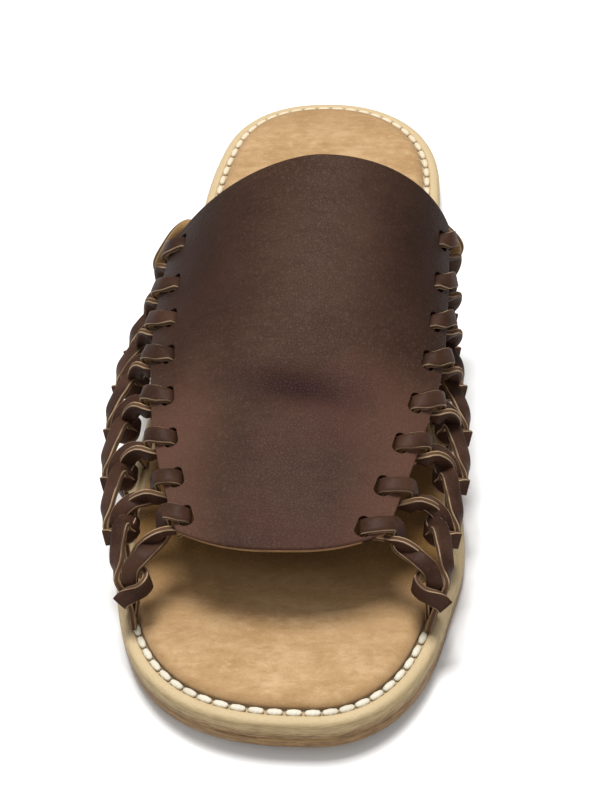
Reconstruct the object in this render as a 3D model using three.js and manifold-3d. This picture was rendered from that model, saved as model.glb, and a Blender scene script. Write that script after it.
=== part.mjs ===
// A woven-side leather slide sandal, for the right foot. Millimetres, +Z up, toe towards -Y, medial side +X.
// The sole is three leather layers. The upper is an arched leather panel, laced down to the sole on both
// sides by flat strips: hangers that run through slots in the panel, each hitched to a runner that winds
// along the side.
import * as THREE from 'three';
import { mergeVertices } from 'three/addons/utils/BufferGeometryUtils.js';
import Module from 'manifold-3d';

// Sole
const SOLE_TOE = -0.9;
const SOLE_HEEL = 268.9;
const SOLE_MIDDLE = (SOLE_TOE + SOLE_HEEL) / 2;
const LATERAL_TOE = { length: 41, power: 2.82 };
const MEDIAL_TOE = { length: 62, power: 1.9 };
const HEEL_CAP = { length: 42.7, power: 2.2 };
const TOE_SPRING = { start: 62, rise: 3.4 };
const OUTSOLE_THICK = 3.6;
const MIDSOLE_THICK = 6.6;
const INSOLE_THICK = 2.2;
const LAYER_GAP = 0.3;
const INSOLE_INSET = 6.6;
const SEAT_INSET = 4.0;
const END_STATIONS = 13;
const MIDDLE_STATIONS = 9;
const TIP_SHARE = 0.06;

// Middle line and half width of the sole, d back from the toe; the end caps round both ends off
const OUTLINE = [
  { d: 0, centre: 9.6, half: 44.9 },
  { d: 40, centre: 0.4, half: 46.5 },
  { d: 66, centre: -0.8, half: 48.7 },
  { d: 95, centre: -1.5, half: 46.8 },
  { d: 125, centre: -2.2, half: 43.0 },
  { d: 155, centre: -1.8, half: 39.6 },
  { d: 185, centre: -0.4, half: 38.2 },
  { d: 215, centre: 0.0, half: 38.6 },
  { d: 240, centre: 0.6, half: 37.3 },
  { d: 268, centre: -1.6, half: 38.4 },
];

// The upper across the foot: the ridge, and on each side the widest place, the fullness of the shoulder
// and the panel's edge
const SECTIONS = [
  { d: 28, ridgeX: 0.5, ridgeZ: 35.0, latX: -44.5, latZ: 19.0, latP: 2.0, latEdge: -22.0,
    medX: 43.5, medZ: 19.0, medP: 2.0, medEdge: 22.0 },
  { d: 50, ridgeX: 1.0, ridgeZ: 40.5, latX: -49.0, latZ: 20.0, latP: 2.0, latEdge: -29.5,
    medX: 46.0, medZ: 20.0, medP: 2.0, medEdge: 29.0 },
  { d: 75, ridgeX: 2.0, ridgeZ: 47.0, latX: -50.8, latZ: 21.5, latP: 1.95, latEdge: -36.4,
    medX: 47.3, medZ: 22.0, medP: 2.0, medEdge: 35.8 },
  { d: 100, ridgeX: 3.5, ridgeZ: 54.5, latX: -51.2, latZ: 22.5, latP: 1.85, latEdge: -40.0,
    medX: 46.5, medZ: 27.0, medP: 2.0, medEdge: 40.8 },
  { d: 130, ridgeX: 5.0, ridgeZ: 65.0, latX: -48.4, latZ: 23.5, latP: 1.72, latEdge: -41.0,
    medX: 44.6, medZ: 34.0, medP: 2.0, medEdge: 42.2 },
  { d: 160, ridgeX: 6.3, ridgeZ: 76.0, latX: -45.0, latZ: 24.0, latP: 1.62, latEdge: -38.5,
    medX: 44.2, medZ: 40.0, medP: 2.0, medEdge: 42.0 },
];

// Panel over the instep: d of its front and back edges at the middle, and how far the corners fall back
const PANEL_THICK = 2.2;
const PANEL_FRONT = { middle: 37.6, corner: 8.0, power: 2.6 };
const PANEL_BACK = { middle: 156.5, corner: -3.0, power: 4 };
const PANEL_ACROSS = 20;
const PANEL_ALONG = 12;

// Strips of the woven sides
const STRIP_WIDE = 5.2;
const STRIP_THICK = 1.9;
const SLOT = { along: 7.6, across: 5.9, deep: 8 };
const STRIP_STEP = 8;
const SLIVER = 0.05;
const OVER_PANEL = 2.75;
const SEAT_LIFT = 0.9;
const EDGE_LEAD = 1.8;
const EDGE_LEAN = 0.3;
const TUCK_LEAD = 3.1;
const LEAF_LEAN = 0.5;
const LEAF_DOWN = 0.3;

// Slots for the hangers: d, and how far in from the panel's edge
const LATERAL_SLOTS = [
  { d: 49.4, inset: 3.9 },
  { d: 61.7, inset: 4.3 },
  { d: 75.0, inset: 5.2 },
  { d: 89.3, inset: 5.9 },
  { d: 104.0, inset: 7.0 },
  { d: 117.6, inset: 8.0 },
  { d: 131.5, inset: 8.6 },
  { d: 148.0, inset: 8.2 },
];
const MEDIAL_SLOTS = [
  { d: 45.8, inset: 6.4 },
  { d: 58.8, inset: 5.8 },
  { d: 73.0, inset: 5.5 },
  { d: 86.8, inset: 5.3 },
  { d: 101.7, inset: 5.4 },
  { d: 115.5, inset: 5.2 },
  { d: 129.8, inset: 5.2 },
  { d: 145.0, inset: 4.2 },
];

// Where each hanger is hitched to the runner, and how far the line of knots lies inside the wall
const CHAIN_DOWN = 0.45;
const KNOTS = [
  { d: 37.0, lateral: 1.6, medial: 1.0 },
  { d: 57.3, lateral: 1.2, medial: 2.1 },
  { d: 77.1, lateral: 1.4, medial: 2.8 },
  { d: 96.4, lateral: 1.4, medial: 3.2 },
  { d: 114.7, lateral: 1.2, medial: 3.8 },
  { d: 130.0, lateral: 1.8, medial: 4.4 },
  { d: 143.3, lateral: 3.2, medial: 4.6 },
  { d: 154.6, lateral: 4.2, medial: 4.6 },
];

// Ways that the grain side of a strip can face: along to the heel, up to the ridge, and out of the shoe
const OUT = [0, 0, 1];
const IN = [0, 0, -1];
const RIDGE = [0, 1, 0];
const TOE = [-1, 0, 0];

// The widest weave reaches further out on the lateral side, so the whole is moved to centre its box
const BOX_SHIFT = 2.43;

const MIDSOLE_BASE = OUTSOLE_THICK + LAYER_GAP;
const MIDSOLE_TOP = MIDSOLE_BASE + MIDSOLE_THICK;
const INSOLE_BASE = MIDSOLE_TOP + LAYER_GAP;

const wasm = await Module();
wasm.setup();

// A smooth curve through one column of a table
function column(rows, name, d) {
  const at = THREE.MathUtils.clamp(d, rows[0].d, rows[rows.length - 1].d);
  let k = 0;
  while (k < rows.length - 2 && at > rows[k + 1].d) k += 1;
  const slope = (i) => {
    const before = rows[Math.max(i - 1, 0)];
    const after = rows[Math.min(i + 1, rows.length - 1)];
    return (after[name] - before[name]) / (after.d - before.d);
  };
  const span = rows[k + 1].d - rows[k].d;
  const t = (at - rows[k].d) / span;
  const rise = rows[k + 1][name] - rows[k][name];
  const start = slope(k) * span;
  const end = slope(k + 1) * span;
  return rows[k][name] + t * (start + t * (3 * rise - 2 * start - end + t * (start + end - 2 * rise)));
}

// A closed solid through rings of equal length; each end is closed by rungs between its two halves
function loft(rings) {
  const n = rings[0].length;
  const index = [];
  const quad = (a, b, c, e) => index.push(a, b, c, a, c, e);
  for (let r = 0; r < rings.length - 1; r += 1) {
    for (let k = 0; k < n; k += 1) {
      const next = (k + 1) % n;
      quad(r * n + k, r * n + next, (r + 1) * n + next, (r + 1) * n + k);
    }
  }
  const last = (rings.length - 1) * n;
  for (let k = 0; k < n / 2 - 1; k += 1) {
    quad(k, n - 1 - k, n - 2 - k, k + 1);
    quad(last + k, last + k + 1, last + n - 2 - k, last + n - 1 - k);
  }
  const points = rings.flat();
  let volume = 0;
  for (let i = 0; i < index.length; i += 3) {
    const [a, b, c] = [points[index[i]], points[index[i + 1]], points[index[i + 2]]];
    volume += a.dot(new THREE.Vector3().crossVectors(b, c));
  }
  if (volume < 0) index.reverse();
  const geometry = new THREE.BufferGeometry().setFromPoints(points);
  geometry.setIndex(index);
  return geometry;
}

function toSolid(geometry) {
  const bare = geometry.clone();
  bare.deleteAttribute('normal');
  bare.deleteAttribute('uv');
  const merged = mergeVertices(bare);
  const vertProperties = new Float32Array(merged.attributes.position.array);
  const triVerts = new Uint32Array(merged.index.array);
  return new wasm.Manifold(new wasm.Mesh({ numProp: 3, vertProperties, triVerts }));
}

function fromSolid(solid) {
  const mesh = solid.getMesh();
  const geometry = new THREE.BufferGeometry();
  geometry.setAttribute('position', new THREE.BufferAttribute(new Float32Array(mesh.vertProperties), 3));
  geometry.setIndex(new THREE.BufferAttribute(new Uint32Array(mesh.triVerts), 1));
  return geometry;
}

// Sole layers

function endRound(reach, cap) {
  if (reach >= cap.length) return 1;
  return (1 - (1 - reach / cap.length) ** cap.power) ** (1 / cap.power);
}

// X of the sole's edge, side -1 lateral and +1 medial
function soleEdge(side, d) {
  const toeRound = endRound(d - SOLE_TOE, side < 0 ? LATERAL_TOE : MEDIAL_TOE);
  const heelRound = endRound(SOLE_HEEL - d, HEEL_CAP);
  return column(OUTLINE, 'centre', d) + side * column(OUTLINE, 'half', d) * toeRound * heelRound;
}

function toeSpring(d) {
  return TOE_SPRING.rise * Math.max(0, (TOE_SPRING.start - d) / TOE_SPRING.start) ** 2;
}

function soleStations() {
  const stations = [];
  for (let k = 0; k < END_STATIONS; k += 1) {
    const turn = (TIP_SHARE + (1 - TIP_SHARE) * k / END_STATIONS) * Math.PI / 2;
    stations.push(SOLE_TOE + MEDIAL_TOE.length * (1 - Math.cos(turn)));
  }
  const toeEnd = SOLE_TOE + MEDIAL_TOE.length;
  const heelStart = SOLE_HEEL - HEEL_CAP.length;
  for (let k = 0; k <= MIDDLE_STATIONS; k += 1) {
    stations.push(THREE.MathUtils.lerp(toeEnd, heelStart, k / MIDDLE_STATIONS));
  }
  for (let k = END_STATIONS - 1; k >= 0; k -= 1) {
    const turn = (TIP_SHARE + (1 - TIP_SHARE) * k / END_STATIONS) * Math.PI / 2;
    stations.push(SOLE_HEEL - HEEL_CAP.length * (1 - Math.cos(turn)));
  }
  return stations;
}

// The sole's outline moved inwards, at a height that follows the toe spring
function soleRing(inset, z) {
  const stations = soleStations();
  const medial = stations.map((d) => new THREE.Vector2(soleEdge(1, d), d));
  const lateral = stations.map((d) => new THREE.Vector2(soleEdge(-1, d), d)).reverse();
  const outline = [...medial, ...lateral];
  return outline.map((p, k) => {
    const before = outline[(k + outline.length - 1) % outline.length];
    const after = outline[(k + 1) % outline.length];
    const along = after.clone().sub(before).normalize();
    const d = p.y + along.x * inset;
    return new THREE.Vector3(p.x - along.y * inset, d - SOLE_MIDDLE, z + toeSpring(d));
  });
}

function soleLayer(profile) {
  return loft(profile.map((step) => soleRing(step.inset, step.z)));
}

const outsole = soleLayer([
  { inset: 1.1, z: 0 },
  { inset: 0.4, z: 0.7 },
  { inset: 0.4, z: OUTSOLE_THICK },
]);

const midsole = soleLayer([
  { inset: 0.6, z: MIDSOLE_BASE },
  { inset: 0, z: MIDSOLE_BASE + 0.7 },
  { inset: 0, z: MIDSOLE_TOP - 1.1 },
  { inset: 0.35, z: MIDSOLE_TOP - 0.4 },
  { inset: 1.1, z: MIDSOLE_TOP },
]);

const insole = soleLayer([
  { inset: INSOLE_INSET, z: INSOLE_BASE },
  { inset: INSOLE_INSET, z: INSOLE_BASE + INSOLE_THICK * 0.5 },
  { inset: INSOLE_INSET + 0.5, z: INSOLE_BASE + INSOLE_THICK * 0.85 },
  { inset: INSOLE_INSET + 1.6, z: INSOLE_BASE + INSOLE_THICK },
]);

// The upper's middle surface

// One side of a cross-section: turn 0 is the ridge, 1 the widest place, 2 the seat in the welt
function archPoint(side, d, turn) {
  const prefix = side < 0 ? 'lat' : 'med';
  const ridgeX = column(SECTIONS, 'ridgeX', d);
  const ridgeZ = column(SECTIONS, 'ridgeZ', d);
  const wideX = column(SECTIONS, `${prefix}X`, d);
  const wideZ = column(SECTIONS, `${prefix}Z`, d);
  const power = 2 / column(SECTIONS, `${prefix}P`, d);
  const y = d - SOLE_MIDDLE;
  if (turn <= 1) {
    const angle = turn * Math.PI / 2;
    const x = ridgeX + (wideX - ridgeX) * Math.sin(angle) ** power;
    const z = wideZ + (ridgeZ - wideZ) * Math.max(0, Math.cos(angle)) ** power;
    return new THREE.Vector3(x, y, z);
  }
  const down = turn - 1;
  const seatX = soleEdge(side, d) - side * SEAT_INSET;
  const seatZ = MIDSOLE_TOP + toeSpring(d) + SEAT_LIFT;
  return new THREE.Vector3(
    THREE.MathUtils.lerp(wideX, seatX, down * down), y, THREE.MathUtils.lerp(wideZ, seatZ, down));
}

// Turn at which a cross-section reaches the panel's edge
function edgeTurn(side, d) {
  const prefix = side < 0 ? 'lat' : 'med';
  const ridgeX = column(SECTIONS, 'ridgeX', d);
  const reach = column(SECTIONS, `${prefix}Edge`, d) - ridgeX;
  const share = reach / (column(SECTIONS, `${prefix}X`, d) - ridgeX);
  return Math.asin(share ** (column(SECTIONS, `${prefix}P`, d) / 2)) / (Math.PI / 2);
}

// A cross-section as a line measured from the panel's edge: positive to the ridge, negative down the wall
function measuredSection(side, d) {
  const steps = 48;
  const turns = [];
  const lengths = [0];
  let previous = null;
  for (let k = 0; k <= steps; k += 1) {
    const turn = 2 * k / steps;
    const p = archPoint(side, d, turn);
    if (previous) lengths.push(lengths[k - 1] + p.distanceTo(previous));
    turns.push(turn);
    previous = p;
  }
  const lengthAt = (turn) => {
    const k = Math.min(steps - 1, Math.floor(turn / 2 * steps));
    const t = (turn - turns[k]) / (turns[k + 1] - turns[k]);
    return THREE.MathUtils.lerp(lengths[k], lengths[k + 1], t);
  };
  const edge = lengthAt(edgeTurn(side, d));
  const point = (q) => {
    const target = edge - q;
    let k = 0;
    while (k < steps - 1 && lengths[k + 1] < target) k += 1;
    const t = (target - lengths[k]) / (lengths[k + 1] - lengths[k]);
    return archPoint(side, d, Math.min(2, THREE.MathUtils.lerp(turns[k], turns[k + 1], t)));
  };
  return { point, drop: lengths[steps] - edge };
}

// Place and directions on the side wall: along towards the heel, up towards the panel, out of the shoe
function wallFrame(side, d, q) {
  const probe = 0.4;
  const here = measuredSection(side, d);
  const ahead = measuredSection(side, d - probe);
  const behind = measuredSection(side, d + probe);
  const place = here.point(q);
  const along = behind.point(q).sub(ahead.point(q)).normalize();
  const up = here.point(q + probe).sub(here.point(q - probe)).normalize();
  const out = new THREE.Vector3().crossVectors(along, up).multiplyScalar(side).normalize();
  return { place, along, up, out };
}

// Panel

function panelPoint(across, along) {
  const fall = Math.abs(across);
  const front = PANEL_FRONT.middle + PANEL_FRONT.corner * fall ** PANEL_FRONT.power;
  const back = PANEL_BACK.middle + PANEL_BACK.corner * fall ** PANEL_BACK.power;
  const d = THREE.MathUtils.lerp(front, back, along);
  const side = across < 0 ? -1 : 1;
  return archPoint(side, d, fall * edgeTurn(side, d));
}

function panelRing(along) {
  const outer = [];
  const inner = [];
  const probe = 0.01;
  for (let k = 0; k <= PANEL_ACROSS; k += 1) {
    const across = 2 * k / PANEL_ACROSS - 1;
    const low = THREE.MathUtils.clamp(across, -1 + probe, 1 - probe);
    const toMedial = panelPoint(low + probe, along).sub(panelPoint(low - probe, along));
    const toHeel = panelPoint(across, along + probe).sub(panelPoint(across, along - probe));
    const out = toMedial.cross(toHeel).normalize().multiplyScalar(PANEL_THICK / 2);
    const middle = panelPoint(across, along);
    outer.push(middle.clone().add(out));
    inner.push(middle.clone().sub(out));
  }
  return [...outer, ...inner.reverse()];
}

function sideSlots(side) {
  return side < 0 ? LATERAL_SLOTS : MEDIAL_SLOTS;
}

function slotCutter(side, slot) {
  const { place, along, up, out } = wallFrame(side, slot.d, slot.inset);
  const cutter = new THREE.BoxGeometry(SLOT.along, SLOT.across, SLOT.deep);
  const squareUp = new THREE.Vector3().crossVectors(out, along).normalize();
  if (squareUp.dot(up) < 0) squareUp.negate();
  const turn = new THREE.Matrix4().makeBasis(
    new THREE.Vector3().crossVectors(squareUp, out).normalize(), squareUp, out);
  cutter.applyMatrix4(turn);
  cutter.translate(place.x, place.y, place.z);
  return toSolid(cutter);
}

function makePanel() {
  const rings = [];
  for (let k = 0; k <= PANEL_ALONG; k += 1) rings.push(panelRing(k / PANEL_ALONG));
  let panel = toSolid(loft(rings));
  for (const side of [-1, 1]) {
    for (const slot of sideSlots(side)) panel = panel.subtract(slotCutter(side, slot));
  }
  return fromSolid(panel);
}

// Woven sides

// A flat strip through places, each with the direction that its grain side faces, made of short links
function strip(route) {
  const curve = new THREE.CatmullRomCurve3(route.map((step) => step.place), false, 'centripetal');
  const spans = route.length - 1;
  const centres = [];
  const faces = [];
  for (let k = 0; k < spans; k += 1) {
    const steps = Math.ceil(route[k].place.distanceTo(route[k + 1].place) / STRIP_STEP);
    for (let j = k > 0 ? 1 : 0; j <= steps; j += 1) {
      centres.push(curve.getPoint((k + j / steps) / spans));
      faces.push(route[k].face.clone().lerp(route[k + 1].face, j / steps));
    }
  }
  const rings = centres.map((centre, k) => {
    const before = centres[Math.max(k - 1, 0)];
    const after = centres[Math.min(k + 1, centres.length - 1)];
    const tangent = after.clone().sub(before).normalize();
    const width = tangent.clone().cross(faces[k]).normalize();
    const face = width.clone().cross(tangent).multiplyScalar(STRIP_THICK / 2);
    const half = width.multiplyScalar(STRIP_WIDE / 2);
    return [
      centre.clone().add(half).add(face).toArray(),
      centre.clone().sub(half).add(face).toArray(),
      centre.clone().sub(half).sub(face).toArray(),
      centre.clone().add(half).sub(face).toArray(),
    ];
  });
  const links = [];
  for (let k = 1; k < rings.length; k += 1) links.push(wasm.Manifold.hull([...rings[k - 1], ...rings[k]]));
  return wasm.Manifold.union(links);
}

// A place q up the wall from the panel's edge and n out of the wall
function onWall(side, d, q, n, facing) {
  const { place, along, up, out } = wallFrame(side, d, q);
  const face = along.multiplyScalar(facing[0]).addScaledVector(up, facing[1]).addScaledVector(out, facing[2]);
  return { place: place.addScaledVector(out, n), face };
}

// A place at the foot of the wall, in the welt
function inWelt(side, d) {
  return onWall(side, d, -measuredSection(side, d).drop, 0, OUT);
}

// A place out and up from the line of knots
function byChain(side, d, out, up, facing) {
  const { point, drop } = measuredSection(side, d);
  const sink = column(KNOTS, side < 0 ? 'lateral' : 'medial', d);
  const place = point(-CHAIN_DOWN * drop).add(new THREE.Vector3(side * (out - sink), 0, up));
  return { place, face: new THREE.Vector3(side * facing[2], facing[0], facing[1]) };
}

// From the cut end outside the knot, round the knot, up on edge to the panel, through the slot from below,
// back over the panel's edge, and down through the knot to the welt
function hangerRoute(side, k) {
  const { d, inset } = sideSlots(side)[k];
  const knot = KNOTS[k].d;
  const edge = THREE.MathUtils.lerp(d, knot, EDGE_LEAN) + EDGE_LEAD;
  const tuck = d - TUCK_LEAD;
  const leaf = THREE.MathUtils.lerp(d, knot, LEAF_LEAN);
  const leafDown = -LEAF_DOWN * measuredSection(side, leaf).drop;
  return [
    byChain(side, knot - 4.2, 7.0, -4.0, [-0.8, 0.5, 0.2]),
    byChain(side, knot - 5.0, 2.2, -2.2, [-0.9, 0.1, 0.3]),
    byChain(side, knot - 4.8, -0.8, -1.8, [-0.9, 0.1, -0.3]),
    byChain(side, knot - 2.8, -3.0, -1.0, [-0.5, 0.2, -0.8]),
    byChain(side, knot + 0.8, -2.6, -1.8, [0, 0.1, -1]),
    onWall(side, leaf, leafDown, -0.8, TOE),
    onWall(side, (leaf + tuck) / 2, -6.0, 0.2, TOE),
    onWall(side, tuck, -3.9, -1.9, [-0.95, 0, -0.3]),
    onWall(side, tuck + 0.9, -1.8, -4.4, [-0.4, 0, -0.9]),
    onWall(side, d - 0.4, inset - 1.6, -OVER_PANEL - 0.1, IN),
    onWall(side, d, inset + 0.7, 0, RIDGE),
    onWall(side, THREE.MathUtils.lerp(d, edge, 0.2), inset - 1.9, OVER_PANEL, OUT),
    onWall(side, THREE.MathUtils.lerp(d, edge, 0.6), 0.25 * inset, OVER_PANEL + 0.4, OUT),
    onWall(side, edge, -1.7, 2.8, OUT),
    onWall(side, edge + 0.3 * (knot - edge), -6.0, -2.4, OUT),
    byChain(side, knot + 1.6, -3.2, 4.4, [-0.4, 0.85, 0.1]),
    byChain(side, knot - 0.6, 0.4, 2.4, [-0.6, 0.75, 0.2]),
    byChain(side, knot - 2.2, 1.8, -1.2, [-0.95, 0.2, 0.2]),
    byChain(side, knot - 2.2, 1.6, -5.0, [-0.8, 0, 0.5]),
    inWelt(side, knot - 1.5),
  ];
}

// From under the panel's back corner, over the side from each knot to the next, winding once round each,
// and down to the welt ahead of the first
function runnerRoute(side) {
  const route = [
    onWall(side, 152, 8.0, -OVER_PANEL - 0.6, IN),
    onWall(side, 156.5, 8.0, -OVER_PANEL - 0.6, [0.1, -0.1, -1]),
    onWall(side, 159.3, 6.0, -0.6, [0.5, -0.3, -0.8]),
    onWall(side, 159, 1.5, 2.4, [0.75, -0.1, -0.6]),
    onWall(side, 157, -3.5, 3.8, [0.9, 0, -0.3]),
    onWall(side, 156, -9.0, 2.6, [0.7, 0.3, 0.6]),
  ];
  let before = null;
  for (let k = KNOTS.length - 1; k >= 0; k -= 1) {
    const knot = KNOTS[k].d;
    if (before) {
      route.push(
        byChain(side, before - 4.6, -1.0, 2.8, [-0.2, 0.95, 0]),
        byChain(side, knot + 0.42 * (before - knot), 1.6, 2.6, [-0.25, 0.9, 0.35]),
      );
    }
    route.push(
      byChain(side, knot + 2.2, 4.0, 1.0, [-0.2, 0.7, 0.7]),
      byChain(side, knot - 0.5, 4.8, -2.0, [0, 0.1, 1]),
    );
    if (k > 0) {
      route.push(
        byChain(side, knot - 1.4, 3.0, -5.6, [0, -0.7, 0.7]),
        byChain(side, knot - 1.5, -1.0, -6.2, [0, -1, -0.2]),
        byChain(side, knot - 1.3, -3.6, -3.6, [0, -0.3, -0.95]),
        byChain(side, knot - 2.6, -3.0, 0.4, [-0.2, 0.6, -0.75]),
      );
    }
    before = knot;
  }
  route.push(
    byChain(side, before - 2.6, 3.4, -7.0, [-0.3, 0, 0.95]),
    inWelt(side, before - 5),
  );
  return route;
}

// The outer skin of a net of strips, so that pockets shut in between crossing strips are filled
function outerSkin(net) {
  return net.decompose().reduce((a, b) => (a.volume() > b.volume() ? a : b));
}

function makeLacing(side) {
  let net = strip(runnerRoute(side));
  for (let k = 0; k < KNOTS.length; k += 1) net = net.add(strip(hangerRoute(side, k)));
  return fromSolid(outerSkin(net.simplify(SLIVER)));
}

const leather = (color, roughness) => new THREE.MeshStandardMaterial({ color, roughness, metalness: 0 });

function part(name, geometry, material) {
  const mesh = new THREE.Mesh(geometry, material);
  mesh.name = name;
  return mesh;
}

const sandal = new THREE.Group();
sandal.position.x = BOX_SHIFT;
sandal.add(part('outsole', outsole, leather(0x9c6238, 0.6)));
sandal.add(part('midsole', midsole, leather(0xd9b48a, 0.65)));
sandal.add(part('insole', insole, leather(0xc79c63, 0.95)));
sandal.add(part('vamp_panel', makePanel(), leather(0x3a1d18, 0.45)));
sandal.add(part('lacing_lateral', makeLacing(-1), leather(0x3a1d18, 0.5)));
sandal.add(part('lacing_medial', makeLacing(1), leather(0x3a1d18, 0.5)));

export default sandal;
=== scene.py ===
import math
from functools import lru_cache

import bmesh
import bpy
import numpy as np
from mathutils import Matrix, Vector
from mathutils.bvhtree import BVHTree


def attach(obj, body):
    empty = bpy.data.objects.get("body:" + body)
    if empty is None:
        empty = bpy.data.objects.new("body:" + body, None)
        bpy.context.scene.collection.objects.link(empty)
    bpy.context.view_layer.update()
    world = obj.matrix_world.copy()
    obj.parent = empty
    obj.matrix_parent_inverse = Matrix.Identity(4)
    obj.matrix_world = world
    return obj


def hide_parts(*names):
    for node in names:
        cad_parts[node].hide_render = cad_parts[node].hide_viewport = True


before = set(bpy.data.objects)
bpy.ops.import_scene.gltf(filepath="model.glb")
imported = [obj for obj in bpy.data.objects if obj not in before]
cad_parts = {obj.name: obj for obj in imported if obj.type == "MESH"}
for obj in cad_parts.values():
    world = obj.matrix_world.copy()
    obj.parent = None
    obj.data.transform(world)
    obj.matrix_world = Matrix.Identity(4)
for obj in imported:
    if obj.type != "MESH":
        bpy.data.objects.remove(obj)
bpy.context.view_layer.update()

# Stage and camera
# A pale floor under soft studio light. The camera stands in front of the toe, a little to the medial side,
# and looks down at the sandal from about 45 degrees.
CAMERA_PLACE = Vector((0.0559, -0.474, 0.461))
CAMERA_AIM = Vector((0.0013, -0.014, 0.012))
CAMERA_PITCH = math.radians(43.5)
CAMERA_LENS = 98
FLOOR_SIZE = 6.0
FLOOR_TONES = [(0.97, 0.97, 0.965, 1), (0.95, 0.95, 0.95, 1)]
ROOM_LIGHT = 0.35
LIGHTS = [
    # name, place, size, watts
    ("overhead_softbox", (-0.06, 0.2, 1.48), 0.5, 25.5),
    ("front_softbox", (0.3, -1.2, 1.0), 0.9, 3.5),
    ("side_softbox", (-1.3, -0.3, 0.9), 0.8, 1.5),
]


class Flow:
    """A value in a finish's node tree. Sums and products of flows add Math nodes to the tree."""

    def __init__(self, tree, socket=None):
        self.tree = tree
        self.socket = socket

    def make(self, kind, settings=None, inputs=None, output=0):
        node = self.tree.nodes.new(kind)
        for name, value in (settings or {}).items():
            setattr(node, name, value)
        for name, value in (inputs or {}).items():
            if isinstance(value, Flow):
                self.tree.links.new(value.socket, node.inputs[name])
            else:
                node.inputs[name].default_value = value
        return Flow(self.tree, node.outputs[output])

    def math(self, operation, first, second=0.0):
        return self.make("ShaderNodeMath", {"operation": operation}, {0: first, 1: second})

    def __add__(self, other):
        return self.math("ADD", self, other)

    def __radd__(self, other):
        return self.math("ADD", other, self)

    def __sub__(self, other):
        return self.math("SUBTRACT", self, other)

    def __rsub__(self, other):
        return self.math("SUBTRACT", other, self)

    def __mul__(self, other):
        return self.math("MULTIPLY", self, other)

    def __rmul__(self, other):
        return self.math("MULTIPLY", other, self)


def new_finish(name, constants):
    """A material, its shader, and the flow of places on the piece that the material's patterns start from."""
    material = bpy.data.materials.new(name)
    material.use_nodes = True
    shader = material.node_tree.nodes["Principled BSDF"]
    for socket, value in constants.items():
        shader.inputs[socket].default_value = value
    return material, shader, Flow(material.node_tree).make("ShaderNodeTexCoord", output="Object")


def feed(shader, **flows):
    for socket, flow in flows.items():
        flow.tree.links.new(flow.socket, shader.inputs[socket.replace("_", " ")])


def noise(where, scale, detail=3.0, roughness=0.5):
    inputs = {"Vector": where, "Scale": scale, "Detail": detail, "Roughness": roughness}
    return where.make("ShaderNodeTexNoise", None, inputs, "Fac")


def tint(share, first, second):
    """The first colour, and the second where the share is 1."""
    return share.make("ShaderNodeMix", {"data_type": "RGBA"}, {0: share, 6: first, 7: second}, 2)


def finished_piece(bm, name, material):
    mesh = bpy.data.meshes.new(name)
    bm.to_mesh(mesh)
    bm.free()
    mesh.materials.append(material)
    mesh.shade_smooth()
    piece = bpy.data.objects.new(name, mesh)
    bpy.context.scene.collection.objects.link(piece)
    return piece


floor_finish, shader, where = new_finish("studio_floor", {"Roughness": 0.6})
feed(shader, Base_Color=tint(noise(where, scale=3), *FLOOR_TONES))
bm = bmesh.new()
bmesh.ops.create_grid(bm, x_segments=4, y_segments=4, size=FLOOR_SIZE / 2)
floor = finished_piece(bm, "studio_floor", floor_finish)

world = bpy.data.worlds.new("studio")
bpy.context.scene.world = world
bpy.context.scene.view_settings.view_transform = "Standard"
world.use_nodes = True
world.node_tree.nodes["Background"].inputs["Color"].default_value = (1, 1, 1, 1)
world.node_tree.nodes["Background"].inputs["Strength"].default_value = ROOM_LIGHT

for name, place, size, watts in LIGHTS:
    light = bpy.data.lights.new(name, "AREA")
    light.size = size
    light.energy = watts
    lamp = bpy.data.objects.new(name, light)
    bpy.context.scene.collection.objects.link(lamp)
    lamp.location = place
    lamp.rotation_euler = (-Vector(place)).to_track_quat("-Z", "Y").to_euler()

camera = bpy.data.objects.new("camera", bpy.data.cameras.new("camera"))
bpy.context.scene.collection.objects.link(camera)
camera.data.lens = CAMERA_LENS
camera.data.clip_start = 0.01
camera.location = CAMERA_PLACE
straight_on = Vector((0, math.cos(CAMERA_PITCH), -math.sin(CAMERA_PITCH)))
turn = straight_on.rotation_difference(CAMERA_AIM - CAMERA_PLACE)
camera.rotation_euler = (turn @ straight_on.to_track_quat("-Z", "Y")).to_euler()
bpy.context.scene.camera = camera

# Outsole
# A thin reddish-brown leather sole that lies on the floor and lifts a little at the toe. It is cemented under
# the midsole and trimmed flush with it. Its sizes are in millimetres, with d measured back from the toe tip.
SOLE_TOE, SOLE_HEEL = -0.9, 268.9
SOLE_OUTLINE = {
    "d": (0, 40, 66, 95, 125, 155, 185, 215, 240, 268),
    "centre": (9.6, 0.4, -0.8, -1.5, -2.2, -1.8, -0.4, 0.0, 0.6, -1.6),
    "half": (44.9, 46.5, 48.7, 46.8, 43.0, 39.6, 38.2, 38.6, 37.3, 38.4),
}
TOE_CAPS = {-1: {"length": 41, "power": 2.82}, 1: {"length": 62, "power": 1.9}}
HEEL_CAP = {"length": 42.7, "power": 2.2}
MIDDLE_LINE = (48, 230)
MIDDLE_INSET = 40  # what the inset mark says on the middle line
TOE_SPRING = {"start": 62, "rise": 3.4}
BOX_SHIFT = 2.43  # brings the middle of the sandal's box to x 0
EDGE_SAMPLES = 1500
SOLE_POINTS = 320
WELD_REACH = 1e-6
OUTSOLE_TOP = 3.75
OUTSOLE_PROFILE = [
    # inset from the edge, share of the way to the middle line, z
    (0, 1, 0), (0, 0.5, 0), (3, 0, 0), (1.2, 0, 0), (0.6, 0, 0.25), (0.4, 0, 0.8), (0.35, 0, 2.0),
    (0.4, 0, 3.2), (0.75, 0, OUTSOLE_TOP), (3, 0, OUTSOLE_TOP), (0, 1, OUTSOLE_TOP),
]
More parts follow.
